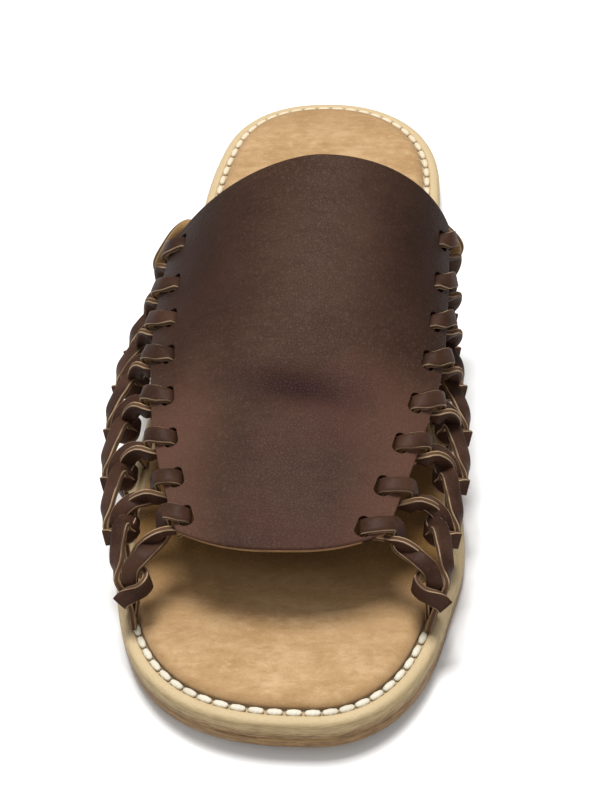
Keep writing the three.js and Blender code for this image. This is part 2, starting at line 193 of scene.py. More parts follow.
OUTSOLE_TONES = {
    "streaked": [(0.14, 0.069, 0.024, 1), (0.285, 0.174, 0.068, 1)],
    "mottled": (0.29, 0.185, 0.088, 1),
}


def rise(value, low, high):
    """0 below low, 1 above high, and smooth between."""
    inputs = {"Value": value, "From Min": low, "From Max": high}
    return value.make("ShaderNodeMapRange", {"interpolation_type": "SMOOTHSTEP"}, inputs)


def bump(height, depth):
    return height.make("ShaderNodeBump", None, {"Height": height, "Distance": depth}, "Normal")


def stretched(where, *scale):
    """Places scaled along the axes, so that a pattern on them is drawn out where the scale is small."""
    return where.make("ShaderNodeMapping", None, {"Vector": where, "Scale": scale})


def eased(t, first, gain, start, end):
    """A cubic that starts at first and gains gain as t goes from 0 to 1, with the slopes start and end."""
    return first + t * (start + t * (3 * gain - 2 * start - end + t * (start + end - 2 * gain)))


@lru_cache(maxsize=None)
def column_slopes(rows, values):
    d, v = np.array(rows, float), np.array(values, float)
    before = np.maximum(np.arange(len(d)) - 1, 0)
    after = np.minimum(np.arange(len(d)) + 1, len(d) - 1)
    return d, v, (v[after] - v[before]) / (d[after] - d[before])


def column(table, name, d):
    """A smooth curve through one column of a table."""
    rows, values, slope = column_slopes(table["d"], table[name])
    at = min(max(d, rows[0]), rows[-1])
    k = min(max(int(np.searchsorted(rows, at)) - 1, 0), len(rows) - 2)
    span = rows[k + 1] - rows[k]
    gain = values[k + 1] - values[k]
    return eased((at - rows[k]) / span, values[k], gain, slope[k] * span, slope[k + 1] * span)


def end_round(reach, cap):
    share = min(max(reach / cap["length"], 0), 1)
    return (1 - (1 - share) ** cap["power"]) ** (1 / cap["power"])


def sole_edge(side, d):
    """X of the sole's edge, side -1 lateral and +1 medial."""
    round_off = end_round(d - SOLE_TOE, TOE_CAPS[side]) * end_round(SOLE_HEEL - d, HEEL_CAP)
    return column(SOLE_OUTLINE, "centre", d) + side * column(SOLE_OUTLINE, "half", d) * round_off


def toe_spring(d):
    return TOE_SPRING["rise"] * max(0.0, (TOE_SPRING["start"] - d) / TOE_SPRING["start"]) ** 2


def to_scene(x, d, z):
    """From the shoe's own x, d and z in millimetres to the scene."""
    return Vector((x + BOX_SHIFT, d - (SOLE_TOE + SOLE_HEEL) / 2, z)) / 1000


@lru_cache(maxsize=None)
def sole_loop(count):
    """Evenly spaced points round the sole's edge from the toe tip by the medial side, the directions inwards
    from them, the points on the sole's middle line that they face, and the loop's length."""
    d = SOLE_TOE + (SOLE_HEEL - SOLE_TOE) * (1 - np.cos(np.linspace(0, math.pi, EDGE_SAMPLES))) / 2
    dense = np.array([(sole_edge(1, v), v) for v in d] + [(sole_edge(-1, v), v) for v in d[-2::-1]])
    length = np.concatenate([[0], np.cumsum(np.linalg.norm(np.diff(dense, axis=0), axis=1))])
    at = np.linspace(0, length[-1], count + 1)[:-1]
    edge = np.stack([np.interp(at, length, dense[:, k]) for k in (0, 1)], axis=1)
    along = np.roll(edge, -1, axis=0) - np.roll(edge, 1, axis=0)
    along /= np.linalg.norm(along, axis=1)[:, None]
    inward = np.stack([-along[:, 1], along[:, 0]], axis=1)
    middle_d = np.clip(edge[:, 1], *MIDDLE_LINE)
    middle = np.stack([[column(SOLE_OUTLINE, "centre", v) for v in middle_d], middle_d], axis=1)
    return edge, inward, middle, length[-1]


def mapped_grid(bm, columns, rows, place, **marks):
    """Adds a grid whose crossing (column, row) goes to place, welded where crossings meet. Each mark is a
    number kept at every crossing for the finish to read."""
    layers = {name: bm.verts.layers.float.get(name) or bm.verts.layers.float.new(name) for name in marks}
    verts = bmesh.ops.create_grid(bm, x_segments=columns, y_segments=rows, size=0.5)["verts"]
    for vert in verts:
        crossing = round((vert.co.x + 0.5) * columns), round((vert.co.y + 0.5) * rows)
        vert.co = place(*crossing)
        for name, mark in marks.items():
            vert[layers[name]] = mark(*crossing)
    bmesh.ops.remove_doubles(bm, verts=verts, dist=WELD_REACH)


def sole_layer(profile):
    """A closed layer of the sole through the steps of a profile. The marks keep how far in from the edge each
    place is, and its z."""
    edge, inward, middle, _ = sole_loop(SOLE_POINTS)

    def place(i, j):
        inset, share, z = profile[j]
        i %= SOLE_POINTS
        x, d = (edge[i] + inward[i] * inset) * (1 - share) + middle[i] * share
        return to_scene(x, d, z + toe_spring(d))

    bm = bmesh.new()
    mapped_grid(bm, SOLE_POINTS, len(profile) - 1, place,
                inset=lambda i, j: profile[j][0] + MIDDLE_INSET * profile[j][1],
                height=lambda i, j: profile[j][2])
    bmesh.ops.recalc_face_normals(bm, faces=bm.faces[:])
    return bm


outsole_finish, shader, where = new_finish("outsole_leather", {"Specular IOR Level": 0.35})
streaks = noise(stretched(where, 1, 1, 6), scale=160, detail=5, roughness=0.65)
mottle = noise(where, scale=45)
tone = tint(rise(streaks, 0.35, 0.65), *OUTSOLE_TONES["streaked"])
tone = tint(rise(mottle, 0.45, 0.75) * 0.5, tone, OUTSOLE_TONES["mottled"])
feed(shader, Base_Color=tone, Roughness=0.45 + 0.25 * streaks, Normal=bump(streaks, depth=0.0002))
outsole = finished_piece(sole_layer(OUTSOLE_PROFILE), "outsole_leather_sole", outsole_finish)
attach(outsole, "root")
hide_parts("outsole")

# Midsole
# A thick natural sole-leather layer. Its rim shows all round as the welt: the top is rounded, with a channel
# cut for the stitching, and the lower edge is burnished reddish brown.
MIDSOLE_TOP = 10.5
CHANNEL = {"outer": 3.1, "inner": 5.3, "depth": 0.7}
CHANNEL_FLOOR = MIDSOLE_TOP - CHANNEL["depth"]
INSOLE_BED = MIDSOLE_TOP - 0.1
MIDSOLE_PROFILE = [
    # inset from the edge, share of the way to the middle line, z
    (0, 1, OUTSOLE_TOP), (1.2, 0, OUTSOLE_TOP), (0.5, 0, OUTSOLE_TOP + 0.1), (0.12, 0, 4.2), (0, 0, 4.8),
    (0, 0, 6.2), (0, 0, 7.2), (0, 0, 8.2), (0.12, 0, 9.0), (0.42, 0, 9.65), (0.95, 0, 10.15),
    (1.75, 0, MIDSOLE_TOP - 0.05), (CHANNEL["outer"] - 0.3, 0, MIDSOLE_TOP),
    (CHANNEL["outer"], 0, MIDSOLE_TOP - 0.2), (CHANNEL["outer"] + 0.2, 0, CHANNEL_FLOOR),
    (CHANNEL["inner"], 0, CHANNEL_FLOOR), (CHANNEL["inner"] + 0.2, 0, INSOLE_BED),
    (8, 0, INSOLE_BED), (0, 1, INSOLE_BED),
]
RIM_HEIGHTS = {
    # where the lower seam ends, the burnish fades, and the side turns to the top
    "seam": (3.95, 4.25),
    "burnish": (5.4, 8.8),
    "side": (8.8, 10.3),
}
HEEL_START = (0.03, 0.08)  # along the scene's Y, in metres
MIDSOLE_TONES = {
    "natural": [(0.49, 0.365, 0.200, 1), (0.58, 0.450, 0.265, 1)],
    "fibres": (0.36, 0.26, 0.15, 1),
    "greyed": [(0.28, 0.197, 0.090, 1), (0.47, 0.350, 0.176, 1)],
    "burnished": [(0.115, 0.055, 0.018, 1), (0.30, 0.188, 0.075, 1)],
    "seam": (0.42, 0.30, 0.17, 1),
    # painted shade in the channel and under the insole's edge, and painted light in the channel at the heel
    "channel": (0.16, 0.09, 0.045, 1),
    "painted_light_heel_channel": (0.74, 0.58, 0.35, 1),
}


def marked(where, name):
    """The number that a piece's mesh keeps under a name at each of its points."""
    return where.make("ShaderNodeAttribute", {"attribute_name": name}, None, "Fac")


def axis(where, name):
    return where.make("ShaderNodeSeparateXYZ", None, {"Vector": where}, name)


def heel_share(where):
    """0 in front of the heel end of the shoe and 1 on it."""
    return rise(axis(where, "Y"), *HEEL_START)


midsole_finish, shader, where = new_finish("midsole_leather", {"Specular IOR Level": 0.35})
height = marked(where, "height")
inset = marked(where, "inset")
streaks = noise(stretched(where, 1, 1, 9), scale=230, detail=6, roughness=0.7)
fibres = noise(where, scale=1500, detail=3, roughness=0.6)
mottle = noise(where, scale=60, detail=4)
natural = tint(mottle, *MIDSOLE_TONES["natural"])
natural = tint(rise(fibres, 0.5, 0.75) * 0.35, natural, MIDSOLE_TONES["fibres"])
greyed = tint(rise(streaks, 0.3, 0.7), *MIDSOLE_TONES["greyed"])
burnished = tint(rise(streaks, 0.35, 0.65), *MIDSOLE_TONES["burnished"])
side = 1 - rise(height, *RIM_HEIGHTS["side"])
low = 1 - rise(height + 1.8 * streaks, *RIM_HEIGHTS["burnish"])
seam = 1 - rise(height, *RIM_HEIGHTS["seam"])
tone = tint(side, natural, greyed)
tone = tint(low * side, tone, burnished)
tone = tint(seam * 0.6, tone, MIDSOLE_TONES["seam"])
in_channel = rise(inset, CHANNEL["outer"], CHANNEL["outer"] + 0.5)
by_insole = rise(inset, CHANNEL["inner"] - 1.0, CHANNEL["inner"] - 0.2)
at_heel = heel_share(where)
# Painted light that lifts the shade in the channel at the heel.
tone = tint(in_channel * at_heel * 0.6, tone, MIDSOLE_TONES["painted_light_heel_channel"])
# Painted shade: the channel a little darker, the line under the insole's edge much darker, not at the heel.
tone = tint((0.1 * in_channel + 0.5 * by_insole) * (1 - at_heel), tone, MIDSOLE_TONES["channel"])
feed(shader, Base_Color=tone, Roughness=0.5 + 0.25 * fibres,
     Normal=bump(streaks + 0.4 * fibres, depth=0.00025))
midsole = finished_piece(sole_layer(MIDSOLE_PROFILE), "midsole_welt", midsole_finish)
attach(midsole, "root")
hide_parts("midsole")

# Insole
# A tan suede footbed inside the stitching, rounded down at its edge where the thread pulls on it. The nap
# is mottled and darker at the heel end and towards the stitched edge. Painted shadow darkens it under the
# panel, and painted shade darkens it a little behind the toe end, more at the sides.
INSOLE_TOP = 13.0
INSOLE_PROFILE = [
    # inset from the edge, share of the way to the middle line, z
    (0, 1, INSOLE_BED), (5.6, 0, INSOLE_BED), (5.35, 0, 10.7), (5.4, 0, 11.3), (5.8, 0, 11.9),
    (6.6, 0, 12.4), (7.8, 0, 12.75), (9.6, 0, 12.95), (12, 0, INSOLE_TOP), (16, 0, INSOLE_TOP),
    (0, 0.5, INSOLE_TOP), (0, 1, INSOLE_TOP),
]
EDGE_DARKENING = (5.6, 8.5)
# where the darker heel end, the painted shadow under the panel and the painted shade behind the toe end
# begin and end, in the scene's metres
HEEL_END = (0.107, 0.127)
UNDER_PANEL = {"front": (-0.0925, -0.0885), "deep": (-0.089, -0.072), "back": (0.02, 0.05),
               "slant": 0.05, "ragged": 0.004}
PAINTED_SHADE_BEHIND_TOE = {"front": (-0.118, -0.107), "sides": (-0.107, -0.102), "aside": (0.008, 0.022), "middle_x": 0.004}
INSOLE_TONES = {
    "suede": [(0.38, 0.229, 0.102, 1), (0.465, 0.298, 0.149, 1)],
    "brushed_up": (0.58, 0.400, 0.225, 1),
    "brushed_down": (0.33, 0.19, 0.08, 1),
    "nap_light": (0.60, 0.42, 0.235, 1),
    "nap_dark": (0.29, 0.165, 0.066, 1),
    "heel_end": (0.28, 0.16, 0.066, 1),
    "painted_shadow": (0.10, 0.044, 0.002, 1),
    "painted_shade_behind_toe": (0.26, 0.145, 0.055, 1),
    "fibres": (0.62, 0.45, 0.27, 1),
    "edge": (0.28, 0.16, 0.07, 1),
}


def aside_from(where, x):
    """How far a place lies to either side of x."""
    return where.math("ABSOLUTE", axis(where, "X") - x)


insole_finish, shader, where = new_finish(
    "insole_suede", {"Specular IOR Level": 0.08, "Sheen Weight": 0.1, "Sheen Roughness": 0.5})
inset = marked(where, "inset")
lengthways = axis(where, "Y")
patches = noise(where, scale=55, detail=4, roughness=0.6)
brushed = noise(stretched(where, 0.5, 1, 1), scale=120, detail=5, roughness=0.65)
nap = noise(stretched(where, 0.6, 1, 1), scale=480, detail=6, roughness=0.8)
fibres = noise(where, scale=2600, detail=3, roughness=0.6)
tone = tint(rise(patches, 0.3, 0.7), *INSOLE_TONES["suede"])
tone = tint(rise(brushed, 0.48, 0.68) * 0.4, tone, INSOLE_TONES["brushed_up"])
tone = tint((1 - rise(brushed, 0.32, 0.5)) * 0.3, tone, INSOLE_TONES["brushed_down"])
tone = tint(rise(nap, 0.5, 0.66) * 0.42, tone, INSOLE_TONES["nap_light"])
tone = tint((1 - rise(nap, 0.34, 0.5)) * 0.42, tone, INSOLE_TONES["nap_dark"])
tone = tint(rise(lengthways, *HEEL_END) * 0.4, tone, INSOLE_TONES["heel_end"])
# Painted shadow of the panel: darker from just in front of its edge, deeper under it, fading at the back.
from_front = lengthways + UNDER_PANEL["slant"] * axis(where, "X") + UNDER_PANEL["ragged"] * brushed
painted_panel_shadow = rise(from_front, *UNDER_PANEL["front"]) * 0.2 + rise(from_front, *UNDER_PANEL["deep"]) * 0.72
painted_panel_shadow = painted_panel_shadow * (1 - rise(lengthways, *UNDER_PANEL["back"]))
tone = tint(painted_panel_shadow, tone, INSOLE_TONES["painted_shadow"])
# Painted shade: behind the toe end the footbed is a little darker, more so at the sides, up to the heel.
at_sides = rise(aside_from(where, PAINTED_SHADE_BEHIND_TOE["middle_x"]), *PAINTED_SHADE_BEHIND_TOE["aside"])
painted_shade_behind_toe = 0.14 * rise(lengthways, *PAINTED_SHADE_BEHIND_TOE["front"]) + 0.22 * rise(lengthways, *PAINTED_SHADE_BEHIND_TOE["sides"]) * at_sides
tone = tint(painted_shade_behind_toe * (1 - heel_share(where)), tone, INSOLE_TONES["painted_shade_behind_toe"])
tone = tint(rise(fibres, 0.55, 0.75) * 0.35, tone, INSOLE_TONES["fibres"])
# Darker towards the stitched edge.
tone = tint((1 - rise(inset, *EDGE_DARKENING)) * 0.45, tone, INSOLE_TONES["edge"])
feed(shader, Base_Color=tone, Roughness=0.8 + 0.15 * fibres,
     Normal=bump(nap * 0.6 + fibres * 0.4, depth=0.00028))
insole = finished_piece(sole_layer(INSOLE_PROFILE), "insole_footbed", insole_finish)
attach(insole, "root")
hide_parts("insole")

# Welt stitches
# One row of thick waxed off-white thread that holds the insole and midsole together. The stitches lie end to
# end in the welt's channel, each pulled down at both ends, except where the woven sides cover the seam.
STITCH_PITCH = 5.2
STITCH = {"inset": 4.15, "long": 2.2, "wide": 1.05, "tall": 0.75, "z": 10.35}
STITCH_FULLNESS = 0.6
STITCH_GAP = (33, 157)  # d over which the woven sides cover the seam
PLY_TWIST = {"along": 5.6, "across": 4.5}  # radians per millimetre
THREAD_TONES = {
    "waxed": [(0.69, 0.64, 0.52, 1), (0.58, 0.52, 0.40, 1)],
    "at_heel": (0.70, 0.58, 0.39, 1),
    "painted_shade_between_plies": (0.44, 0.37, 0.28, 1),
}

thread_finish, shader, where = new_finish("welt_thread", {"Roughness": 0.6, "Specular IOR Level": 0.3})
along_ply = PLY_TWIST["along"] * marked(where, "thread_along")
across_ply = PLY_TWIST["across"] * marked(where, "thread_across")
plies = 0.5 + 0.5 * where.math("SINE", along_ply + across_ply)
soil = noise(where, scale=120)
tone = tint(rise(soil, 0.4, 0.75), *THREAD_TONES["waxed"])
tone = tint(heel_share(where) * 0.7, tone, THREAD_TONES["at_heel"])
# Painted shade in the grooves between the plies.
tone = tint((1 - plies) * 0.06, tone, THREAD_TONES["painted_shade_between_plies"])
feed(shader, Base_Color=tone, Normal=bump(plies, depth=0.00005))
_, _, _, welt_length = sole_loop(SOLE_POINTS)
stitch_edge, stitch_inward, _, _ = sole_loop(round(welt_length / STITCH_PITCH))
bm = bmesh.new()
thread_along = bm.verts.layers.float.new("thread_along")
thread_across = bm.verts.layers.float.new("thread_across")
for edge, into in zip(stitch_edge, stitch_inward):
    x, d = edge + into * STITCH["inset"]
    if STITCH_GAP[0] < d < STITCH_GAP[1]:
        continue
    verts = bmesh.ops.create_uvsphere(bm, u_segments=8, v_segments=6, radius=1)["verts"]
    for vert in verts:
        vert.co.x = math.copysign(abs(vert.co.x) ** STITCH_FULLNESS, vert.co.x)
        vert[thread_along] = vert.co.x * STITCH["long"]
        vert[thread_across] = vert.co.y * STITCH["wide"]
    heading = Vector((-into[1], into[0], 0))
    slope = (toe_spring(d + 0.5) - toe_spring(d - 0.5)) * heading.y
    heading = (heading + Vector((0, 0, slope))).normalized()
    inwards = Vector((into[0], into[1], 0))
    axes = Matrix((heading, inwards, heading.cross(inwards))).transposed()
    sizes = Matrix.Diagonal((STITCH["long"], STITCH["wide"], STITCH["tall"])) * 0.001
    spot = to_scene(x, d, STITCH["z"] + toe_spring(d))
    bmesh.ops.transform(bm, matrix=Matrix.Translation(spot) @ (axes @ sizes).to_4x4(), verts=verts)
bmesh.ops.recalc_face_normals(bm, faces=bm.faces[:])
stitches = finished_piece(bm, "welt_stitches", thread_finish)
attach(stitches, "root")

# Instep panel
# One panel of smooth dark brown leather, bent over the instep, its edges cut and left raw. Eight slots are
# punched along each side for the strips, and wear has left a shallow dent across its middle.
UPPER_SECTIONS = {
    "d": (28, 50, 75, 100, 130, 160),
    "ridge_x": (0.5, 1, 2, 3.5, 5, 6.3),
    "ridge_z": (35, 40.5, 47, 54.5, 65, 76),
    "lateral_x": (-44.5, -49, -50.8, -51.2, -48.4, -45),
    "lateral_z": (19, 20, 21.5, 22.5, 23.5, 24),
    "lateral_power": (2, 2, 1.95, 1.85, 1.72, 1.62),
    "lateral_edge": (-22, -29.5, -36.4, -40, -41, -38.5),
    "medial_x": (43.5, 46, 47.3, 46.5, 44.6, 44.2),
    "medial_z": (19, 20, 22, 27, 34, 40),
    "medial_power": (2, 2, 2, 2, 2, 2),
    "medial_edge": (22, 29, 35.8, 40.8, 42.2, 42),
}
SEAT = {"inset": 4.0, "lift": 0.4}
PANEL_THICK = 2.2
PANEL_FRONT = {"middle": 37.6, "corner": 8.0, "power": 2.6}
PANEL_BACK = {"middle": 156.5, "corner": -3.0, "power": 4}
PANEL_ACROSS, PANEL_ALONG = 96, 100
RIM_BEVEL = 0.4
RIM_ANGLE = 1.0
SHARP_ANGLE = math.radians(50)
SLOTS = {
    # d and inset from the panel's edge of the slots on the lateral and on the medial side
    -1: ((49.4, 3.9), (61.7, 4.3), (75, 5.2), (89.3, 5.9),
         (104, 7), (117.6, 8), (131.5, 8.6), (148, 8.2)),
    1: ((45.8, 6.4), (58.8, 5.8), (73, 5.5), (86.8, 5.3),
        (101.7, 5.4), (115.5, 5.2), (129.8, 5.2), (145, 4.2)),
}
SLOT = {"along": 6.4, "across": 4.2, "deep": 8, "corner": 1.6, "shade_reach": 4.3}
DENTS = [
    # d, x, reach along, reach across, height, how far back the ends bend
    (86.5, 2.5, 7, 17, -2.0, -1.5),
    (108, 4, 11, 20, 1.0, 0),
    (64, -5, 10, 16, 0.7, 0),
]
# how the painted shade in the dent slants across it, and how far it reaches along it
DENT_SHADE = {"slant": 0.14, "reach": 0.75}
# the lengths q, the places d and the turns at which the upper is worked out once
Q_STEP = 0.5
Q_RANGE = np.arange(-62, 22, Q_STEP)
D_RANGE = np.arange(18, 176)
WALL_TURNS = np.linspace(0, 2, 97)
# where the painted shade on the panel's back sides and the painted light and shade at its front begin
# and end, in the scene's metres
BACK_SIDES = {"crest_x": 0.007, "aside": (0.004, 0.036), "from": (-0.055, -0.002)}
FRONT_MIDDLE = {"x": 0.003, "aside": (0.010, 0.028), "corners": (0.010, 0.034), "to": (-0.065, -0.03)}
PANEL_TONES = {
    "hide": [(0.041, 0.019, 0.0105, 1), (0.066, 0.034, 0.0205, 1)],
    "wrinkles": (0.026, 0.011, 0.006, 1),
    "warm": (0.078, 0.028, 0.020, 1),
    "grain": (0.105, 0.058, 0.042, 1),
    "dent": (0.017, 0.002, 0.001, 1),
    "painted_shade_back_sides": (0.0135, 0.005, 0.0033, 1),
    "painted_light_front_corners": (0.130, 0.062, 0.043, 1),
    "painted_shade_front_middle": (0.020, 0.009, 0.006, 1),
    "raw_edge": [(0.16, 0.09, 0.042, 1), (0.30, 0.18, 0.09, 1)],
    "slot": (0.025, 0.012, 0.008, 1),
    "flesh": [(0.17, 0.085, 0.035, 1), (0.27, 0.15, 0.065, 1)],
}


@lru_cache(maxsize=None)
def upper_section(side, d):
    name = "lateral_" if side < 0 else "medial_"
    parts = [column(UPPER_SECTIONS, key, d) for key in ("ridge_x", "ridge_z")]
    return parts + [column(UPPER_SECTIONS, name + key, d) for key in ("x", "z", "power", "edge")]


def arch_point(side, d, turn):
    """The upper's middle surface: turn 0 is the ridge, 1 the widest place, and 2 the seat in the welt."""
    ridge_x, ridge_z, wide_x, wide_z, power, _ = upper_section(side, d)
    if turn <= 1:
        angle = turn * math.pi / 2
        x = ridge_x + (wide_x - ridge_x) * math.sin(angle) ** (2 / power)
        z = wide_z + (ridge_z - wide_z) * max(0.0, math.cos(angle)) ** (2 / power)
        return np.array((x, d, z))
    down = turn - 1
    seat_x = sole_edge(side, d) - side * SEAT["inset"]
    seat_z = MIDSOLE_TOP + toe_spring(d) + SEAT["lift"]
    return np.array((wide_x + (seat_x - wide_x) * down ** 2, d, wide_z + (seat_z - wide_z) * down))


def edge_turn(side, d):
    """The turn at which the panel ends."""
    ridge_x, _, wide_x, _, power, edge = upper_section(side, d)
    return math.asin(((edge - ridge_x) / (wide_x - ridge_x)) ** (power / 2)) / (math.pi / 2)


def panel_point(across, along):
    """The panel's middle surface: across from -1 lateral to 1 medial, along from 0 at the front to 1."""
    fall = abs(across)
    front = PANEL_FRONT["middle"] + PANEL_FRONT["corner"] * fall ** PANEL_FRONT["power"]
    back = PANEL_BACK["middle"] + PANEL_BACK["corner"] * fall ** PANEL_BACK["power"]
    d = front + (back - front) * along
    side = -1 if across < 0 else 1
    return arch_point(side, d, fall * edge_turn(side, d))


def unit(vector):
    return vector / np.linalg.norm(vector)


def panel_outside(i, j):
    """The panel's grain side at a crossing of its grid, with the dents."""
    across, along = 2 * i / PANEL_ACROSS - 1, j / PANEL_ALONG
    probe = 0.01
    inner = min(max(across, probe - 1), 1 - probe)
    to_medial = panel_point(inner + probe, along) - panel_point(inner - probe, along)
    to_heel = panel_point(across, along + probe) - panel_point(across, along - probe)
    middle = panel_point(across, along)
    proud = PANEL_THICK / 2
    for d, x, reach_d, reach_x, height, bend in DENTS:
        aside = ((middle[0] - x) / reach_x) ** 2
        proud += height * math.exp(-((middle[1] - d - bend * aside) / reach_d) ** 2 - aside)
    return to_scene(*(middle + unit(np.cross(to_medial, to_heel)) * proud))


@lru_cache(maxsize=None)
def wall_table(side):
    """The upper's middle surface by d and by q, the length from the panel's edge, up towards the ridge, and
    the length from that edge down to the welt for each d."""
    table, drops = [], []
    for d in D_RANGE:
        line = np.array([arch_point(side, float(d), t) for t in WALL_TURNS])
        length = np.concatenate([[0], np.cumsum(np.linalg.norm(np.diff(line, axis=0), axis=1))])
        at = np.interp(edge_turn(side, float(d)), WALL_TURNS, length)
        table.append(np.stack([np.interp(at - Q_RANGE, length, line[:, k]) for k in range(3)], axis=1))
        drops.append(length[-1] - at)
    return np.array(table), np.array(drops)


def wall_point(side, d, q):
    table, _ = wall_table(side)
    row = min(max(d - D_RANGE[0], 0), len(D_RANGE) - 1.001)
    place = min(max((q - Q_RANGE[0]) / Q_STEP, 0), len(Q_RANGE) - 1.001)
    i, j = int(row), int(place)
    s, t = row - i, place - j
    near = table[i, j] * (1 - t) + table[i, j + 1] * t
    far = table[i + 1, j] * (1 - t) + table[i + 1, j + 1] * t
    return near * (1 - s) + far * s


def wall_drop(side, d):
    return float(np.interp(d, D_RANGE, wall_table(side)[1]))


def wall_frame(side, d, q):
    """A place on the upper, and the directions there along to the heel, up to the ridge, and out."""
    along = unit(wall_point(side, d + 1, q) - wall_point(side, d - 1, q))
    up = unit(wall_point(side, d, q + 1) - wall_point(side, d, q - 1))
    return wall_point(side, d, q), along, up, unit(np.cross(along, up)) * side


def dent_shade_at(place):
    """How strongly the painted shade in the dent darkens a place on the panel, from 0 to 1."""
    dent_d, dent_x, reach_d, reach_x, _, _ = DENTS[0]
    away = (place - to_scene(dent_x, dent_d, 0)) * 1000
    along = (away.y + DENT_SHADE["slant"] * away.x) / (DENT_SHADE["reach"] * reach_d)
    return math.exp(-(away.x / reach_x) ** 2 - along ** 2)


panel_finish, shader, where = new_finish("vamp_leather", {"Specular IOR Level": 0.09})
depth = marked(where, "depth")
lengthways = axis(where, "Y")
clouds = noise(where, scale=28, detail=3, roughness=0.55)
warmth = noise(where, scale=25, detail=4)
grain = noise(where, scale=1150, detail=4, roughness=0.6)
cells = {"Vector": where, "Scale": 1100}
pores = where.make("ShaderNodeTexVoronoi", {"feature": "DISTANCE_TO_EDGE"}, cells, "Distance")
wrinkles = noise(stretched(where, 0.3, 1, 1), scale=420, detail=4, roughness=0.65)
tone = tint(rise(clouds, 0.3, 0.7), *PANEL_TONES["hide"])
tone = tint(rise(wrinkles, 0.45, 0.7) * 0.35, tone, PANEL_TONES["wrinkles"])
tone = tint(rise(warmth, 0.42, 0.66) * 0.55, tone, PANEL_TONES["warm"])
tone = tint(rise(grain, 0.48, 0.72) * 0.5, tone, PANEL_TONES["grain"])
# Painted shade in the dent's trough.
tone = tint(marked(where, "in_dent") * 0.95, tone, PANEL_TONES["dent"])
# Painted shade on the steep back sides, away from the crest.
off_crest = rise(aside_from(where, BACK_SIDES["crest_x"]), *BACK_SIDES["aside"])
at_back = rise(lengthways, *BACK_SIDES["from"])
tone = tint(off_crest * at_back * 0.77, tone, PANEL_TONES["painted_shade_back_sides"])
# Painted light on the front corners, which face up, and painted shade on the front middle.
front = 1 - rise(lengthways, *FRONT_MIDDLE["to"])
aside = aside_from(where, FRONT_MIDDLE["x"])
tone = tint(rise(aside, *FRONT_MIDDLE["corners"]) * front * 0.5, tone, PANEL_TONES["painted_light_front_corners"])
tone = tint((1 - rise(aside, *FRONT_MIDDLE["aside"])) * front * 0.25, tone, PANEL_TONES["painted_shade_front_middle"])
raw_edge = tint(noise(where, scale=300), *PANEL_TONES["raw_edge"])
# Painted shade on the walls of the slots.
raw_edge = tint(rise(marked(where, "in_slot"), 0.2, 0.8), raw_edge, PANEL_TONES["slot"])
flesh = tint(grain, *PANEL_TONES["flesh"])
tone = tint(rise(depth, 0.26, 0.4), tone, raw_edge)
tone = tint(rise(depth, 0.85, 0.97), tone, flesh)
feed(shader, Base_Color=tone, Roughness=0.44 + 0.16 * grain + 0.35 * rise(depth, 0.1, 0.3),
     Normal=bump(grain * 0.5 + rise(pores, 0.0, 0.15) * 0.2 + wrinkles * 0.5, depth=0.00028))
bm = bmesh.new()
mapped_grid(bm, PANEL_ACROSS, PANEL_ALONG, panel_outside)
bmesh.ops.recalc_face_normals(bm, faces=bm.faces[:])
if bm.faces[:][len(bm.faces) // 2].normal.z < 0:
    bmesh.ops.reverse_faces(bm, faces=bm.faces[:])
panel_outer = BVHTree.FromBMesh(bm)
bmesh.ops.solidify(bm, geom=bm.faces[:], thickness=PANEL_THICK / 1000)
bmesh.ops.recalc_face_normals(bm, faces=bm.faces[:])
rim = [e for e in bm.edges if len(e.link_faces) == 2 and e.calc_face_angle() > RIM_ANGLE]
bmesh.ops.bevel(bm, geom=rim, offset=RIM_BEVEL / 1000, offset_type="OFFSET", segments=2, profile=0.5,
                affect="EDGES", material=-1)
panel = finished_piece(bm, "instep_panel", panel_finish)
bm = bmesh.new()
slot_spots = []
for side in (-1, 1):
    for slot_d, slot_inset in SLOTS[side]:
        spot, along, up, out = wall_frame(side, slot_d, slot_inset)
        slot_spots.append(to_scene(*spot))
        verts = bmesh.ops.create_cube(bm, size=1)["verts"]
        axes = Matrix((along, unit(np.cross(out, along)), out)).transposed()
        sizes = Matrix.Diagonal((SLOT["along"], SLOT["across"], SLOT["deep"])) * 0.001
        upright = [e for e in bm.edges
                   if e.verts[0] in verts and abs(e.verts[0].co.z - e.verts[1].co.z) > 0.5]
        turned = Matrix.Translation(slot_spots[-1]) @ (axes @ sizes).to_4x4()
        bmesh.ops.transform(bm, matrix=turned, verts=verts)
        bmesh.ops.bevel(bm, geom=upright, offset=SLOT["corner"] / 1000, offset_type="OFFSET", segments=4,
                        profile=0.5, affect="EDGES", material=-1)
bmesh.ops.recalc_face_normals(bm, faces=bm.faces[:])
punch = finished_piece(bm, "slot_punch", panel_finish)
cut = panel.modifiers.new("slots", "BOOLEAN")
cut.operation = "DIFFERENCE"
cut.solver = "EXACT"
cut.object = punch
bpy.context.view_layer.update()
punched = bpy.data.meshes.new_from_object(panel.evaluated_get(bpy.context.evaluated_depsgraph_get()))
panel.modifiers.remove(cut)
panel.data = punched
bpy.data.objects.remove(punch)
# how far from each slot's middle its walls take the painted shade
slot_shade_reach = SLOT["shade_reach"] / 1000
panel_marks = {
    "depth": lambda place: panel_outer.find_nearest(place)[3] * 1000 / PANEL_THICK,
    "in_slot": lambda place: float(min((place - spot).length for spot in slot_spots) < slot_shade_reach),
    "in_dent": dent_shade_at,
}
for name, measure in panel_marks.items():
    values = [measure(vert.co) for vert in punched.vertices]
    punched.attributes.new(name, "FLOAT", "POINT").data.foreach_set("value", values)
punched.shade_smooth()
punched.set_sharp_from_angle(angle=SHARP_ANGLE)
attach(panel, "root")
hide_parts("vamp_panel")

